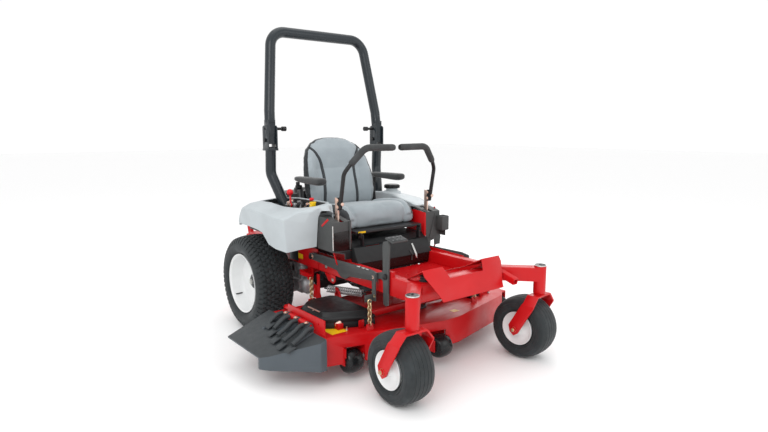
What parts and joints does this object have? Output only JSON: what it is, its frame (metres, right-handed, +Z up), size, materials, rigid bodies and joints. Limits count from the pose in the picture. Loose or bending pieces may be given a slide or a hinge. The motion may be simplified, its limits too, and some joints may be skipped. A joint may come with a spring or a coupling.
{
  "type": "zero turn mower",
  "caption": "Ride-on zero-turn lawn mower: twin lap-bar levers, folding roll bar, belly deck with side discharge chute, pivoting front casters and large rear drive tyres.",
  "frame": {"origin": "centre of the footprint on the ground, halfway along the machine's length and width with the discharge chute down", "axes": "+X to the operator's left, -Y forward, +Y towards the engine at the rear, +Z up"},
  "size_m": [1.649, 2.0638, 1.796],
  "materials": {
    "red_paint": "gloss red powder coat",
    "black_paint": "satin black powder coat",
    "dark_frame": "semi-gloss blue-black paint",
    "charcoal_plastic": "grained charcoal plastic",
    "light_plastic": "moulded light grey plastic",
    "black_plastic": "matte black plastic",
    "vinyl": "grey vinyl with dark piping",
    "tyre_rubber": "matte rubber",
    "rubber": "matte rubber",
    "white_rim": "white gloss paint",
    "cast_metal": "die-cast",
    "steel": "zinc plated",
    "copper_zinc": "copper-toned zinc plate",
    "yellow_plastic": "yellow plastic"
  },
  "bodies": {
    "chassis": {"frame_rails": "red_paint", "front_frame": "red_paint", "rear_frame": "red_paint", "floor_pan": "red_paint", "footrest": "red_paint", "rubber_isolators": "rubber", "console_box": "black_paint", "fuel_tank": "light_plastic", "fender_right": "light_plastic", "tower_left": "charcoal_plastic", "tower_right": "charcoal_plastic", "rops_posts": "dark_frame", "frame_fasteners": "steel", "engine_block": "cast_metal", "engine_cover": "charcoal_plastic", "muffler": "black_paint", "transaxles": "cast_metal", "assist_spring": "steel", "control_panel": "black_plastic"},
    "seat": {"seat_base": "black_paint", "seat_cushion": "vinyl", "seat_back": "vinyl"},
    "deck": {"deck_shell": "red_paint", "belt_covers": "black_plastic", "lift_chains": "steel", "spindle_housings": "cast_metal"},
    "drive_wheel_left": {"rear_tyre_left": "tyre_rubber", "rear_rim_left": "white_rim"},
    "caster_fork_left": {"caster_fork_left": "red_paint"},
    "caster_wheel_left": {"caster_tyre_left": "tyre_rubber", "caster_rim_left": "white_rim"},
    "lever_stem_left": {"lever_stem_left": "copper_zinc"},
    "lap_bar_left": {"lever_tube_left": "dark_frame", "lever_grip_left": "rubber"},
    "rops_pin_left": {"rops_pin_left": "steel"},
    "armrest_left": {"armrest_left": "vinyl"},
    "drive_wheel_right": {"rear_tyre_right": "tyre_rubber", "rear_rim_right": "white_rim"},
    "caster_fork_right": {"caster_fork_right": "red_paint"},
    "caster_wheel_right": {"caster_tyre_right": "tyre_rubber", "caster_rim_right": "white_rim"},
    "lever_stem_right": {"lever_stem_right": "copper_zinc"},
    "lap_bar_right": {"lever_tube_right": "dark_frame", "lever_grip_right": "rubber"},
    "rops_pin_right": {"rops_pin_right": "steel"},
    "armrest_right": {"armrest_right": "vinyl"},
    "rops_hoop": {"rops_hoop": "dark_frame"},
    "foot_pedal": {"foot_pedal": "black_paint"},
    "lift_arms": {"lift_arms": "black_paint"},
    "rear_lift_shaft": {"rear_lift_shaft": "red_paint"},
    "discharge_chute": {"discharge_chute": "charcoal_plastic"},
    "blade_left": {"blade_left": "steel"},
    "roller_left": {"roller_left": "black_plastic"},
    "blade_center": {"blade_center": "steel"},
    "roller_center": {"roller_center": "black_plastic"},
    "blade_right": {"blade_right": "steel"},
    "roller_right": {"roller_right": "black_plastic"},
    "throttle_lever": {"throttle_lever": "black_plastic"},
    "pto_switch": {"pto_switch": "yellow_plastic"},
    "fuel_cap": {"fuel_cap": "black_plastic"}
  },
  "joints": [
    {"name": "drive_wheel_left", "type": "hinge", "parent": "chassis", "child": "drive_wheel_left", "pos_m": [0.5195, 0.4325, 0.284], "axis": [1, 0, 0], "continuous": true},
    {"name": "caster_swivel_left", "type": "hinge", "parent": "chassis", "child": "caster_fork_left", "pos_m": [0.4775, -0.9475, 0.43], "axis": [0, 0, 1], "continuous": true},
    {"name": "caster_wheel_left", "type": "hinge", "parent": "caster_fork_left", "child": "caster_wheel_left", "pos_m": [0.46983, -0.86787, 0.163], "axis": [0.9954, 0.0958, 0], "continuous": true},
    {"name": "lever_stroke_left", "type": "hinge", "parent": "chassis", "child": "lever_stem_left", "pos_m": [0.3585, -0.2075, 0.665], "axis": [1, 0, 0], "range_deg": [-12, 12]},
    {"name": "lever_swing_left", "type": "hinge", "parent": "lever_stem_left", "child": "lap_bar_left", "pos_m": [0.3585, -0.2295, 0.809], "axis": [0, 1, 0], "range_deg": [0, 26]},
    {"name": "rops_pin_left", "type": "slide", "parent": "chassis", "child": "rops_pin_left", "axis": [1, 0, 0], "range_m": [0, 0.033]},
    {"name": "armrest_left", "type": "hinge", "parent": "seat", "child": "armrest_left", "pos_m": [0.3235, 0.2575, 0.856], "axis": [-1, 0, 0], "range_deg": [0, 70]},
    {"name": "drive_wheel_right", "type": "hinge", "parent": "chassis", "child": "drive_wheel_right", "pos_m": [-0.4365, 0.4325, 0.284], "axis": [1, 0, 0], "continuous": true},
    {"name": "caster_swivel_right", "type": "hinge", "parent": "chassis", "child": "caster_fork_right", "pos_m": [-0.3945, -0.9475, 0.43], "axis": [0, 0, 1], "continuous": true},
    {"name": "caster_wheel_right", "type": "hinge", "parent": "caster_fork_right", "child": "caster_wheel_right", "pos_m": [-0.39269, -0.86752, 0.163], "axis": [0.9997, -0.0227, 0], "continuous": true},
    {"name": "lever_stroke_right", "type": "hinge", "parent": "chassis", "child": "lever_stem_right", "pos_m": [-0.2755, -0.2075, 0.665], "axis": [1, 0, 0], "range_deg": [-12, 12]},
    {"name": "lever_swing_right", "type": "hinge", "parent": "lever_stem_right", "child": "lap_bar_right", "pos_m": [-0.2755, -0.2295, 0.809], "axis": [0, -1, 0], "range_deg": [0, 26]},
    {"name": "rops_pin_right", "type": "slide", "parent": "chassis", "child": "rops_pin_right", "axis": [-1, 0, 0], "range_m": [0, 0.033]},
    {"name": "armrest_right", "type": "hinge", "parent": "seat", "child": "armrest_right", "pos_m": [-0.2405, 0.2575, 0.856], "axis": [-1, 0, 0], "range_deg": [0, 70]},
    {"name": "rops_fold", "type": "hinge", "parent": "chassis", "child": "rops_hoop", "pos_m": [0.0415, 0.3725, 1.13], "axis": [-1, 0, 0], "range_deg": [0, 100]},
    {"name": "seat_tilt", "type": "hinge", "parent": "chassis", "child": "seat", "pos_m": [0.0415, -0.2675, 0.626], "axis": [1, 0, 0], "range_deg": [0, 34]},
    {"name": "deck_lift", "type": "slide", "parent": "chassis", "child": "deck", "axis": [0, 0, 1], "range_m": [0, 0.044]},
    {"name": "chute_flap", "type": "hinge", "parent": "deck", "child": "discharge_chute", "pos_m": [-0.5805, -0.2675, 0.268], "axis": [0, 1, 0], "range_deg": [0, 85]},
    {"name": "blade_spin_center", "type": "hinge", "parent": "deck", "child": "blade_center", "pos_m": [0.0915, -0.4175, 0.2], "axis": [0, 0, 1], "continuous": true},
    {"name": "blade_spin_left", "type": "hinge", "parent": "deck", "child": "blade_left", "pos_m": [0.5165, -0.2525, 0.2], "axis": [0, 0, 1], "continuous": true},
    {"name": "blade_spin_right", "type": "hinge", "parent": "deck", "child": "blade_right", "pos_m": [-0.3335, -0.2525, 0.2], "axis": [0, 0, 1], "continuous": true},
    {"name": "roller_spin_right", "type": "hinge", "parent": "deck", "child": "roller_right", "pos_m": [-0.4235, -0.5355, 0.09], "axis": [1, 0, 0], "continuous": true},
    {"name": "roller_spin_center", "type": "hinge", "parent": "deck", "child": "roller_center", "pos_m": [0.0115, -0.7005, 0.11], "axis": [1, 0, 0], "continuous": true},
    {"name": "roller_spin_left", "type": "hinge", "parent": "deck", "child": "roller_left", "pos_m": [0.7885, -0.4295, 0.105], "axis": [1, 0, 0], "continuous": true},
    {"name": "pedal_press", "type": "hinge", "parent": "chassis", "child": "foot_pedal", "pos_m": [-0.2685, -0.6125, 0.495], "axis": [1, 0, 0], "range_deg": [0, 28]},
    {"name": "lift_arm_pivot", "type": "hinge", "parent": "chassis", "child": "lift_arms", "pos_m": [0.0415, 0.0475, 0.48], "axis": [-1, 0, 0], "range_deg": [0, 5]},
    {"name": "rear_lift_pivot", "type": "hinge", "parent": "chassis", "child": "rear_lift_shaft", "pos_m": [0.0415, 0.1225, 0.378], "axis": [-1, 0, 0], "range_deg": [0, 20]},
    {"name": "throttle", "type": "hinge", "parent": "chassis", "child": "throttle_lever", "pos_m": [-0.3525, 0.1435, 0.77], "axis": [1, 0, 0], "range_deg": [-18, 22]},
    {"name": "pto_pull", "type": "slide", "parent": "chassis", "child": "pto_switch", "axis": [0, 0, 1], "range_m": [0, 0.012]},
    {"name": "fuel_cap", "type": "hinge", "parent": "chassis", "child": "fuel_cap", "pos_m": [0.4375, 0.2105, 0.82], "axis": [0, 0, 1], "range_deg": [0, 90]}
  ],
  "couplings": [
    {"joint": "pedal_press", "follows": "deck_lift", "rad_per_m": 10.9},
    {"joint": "lift_arm_pivot", "follows": "deck_lift", "rad_per_m": 1.64},
    {"joint": "rear_lift_pivot", "follows": "deck_lift", "rad_per_m": 7},
    {"joint": "blade_spin_left", "follows": "blade_spin_center", "ratio": 1},
    {"joint": "blade_spin_right", "follows": "blade_spin_center", "ratio": 1}
  ]
}
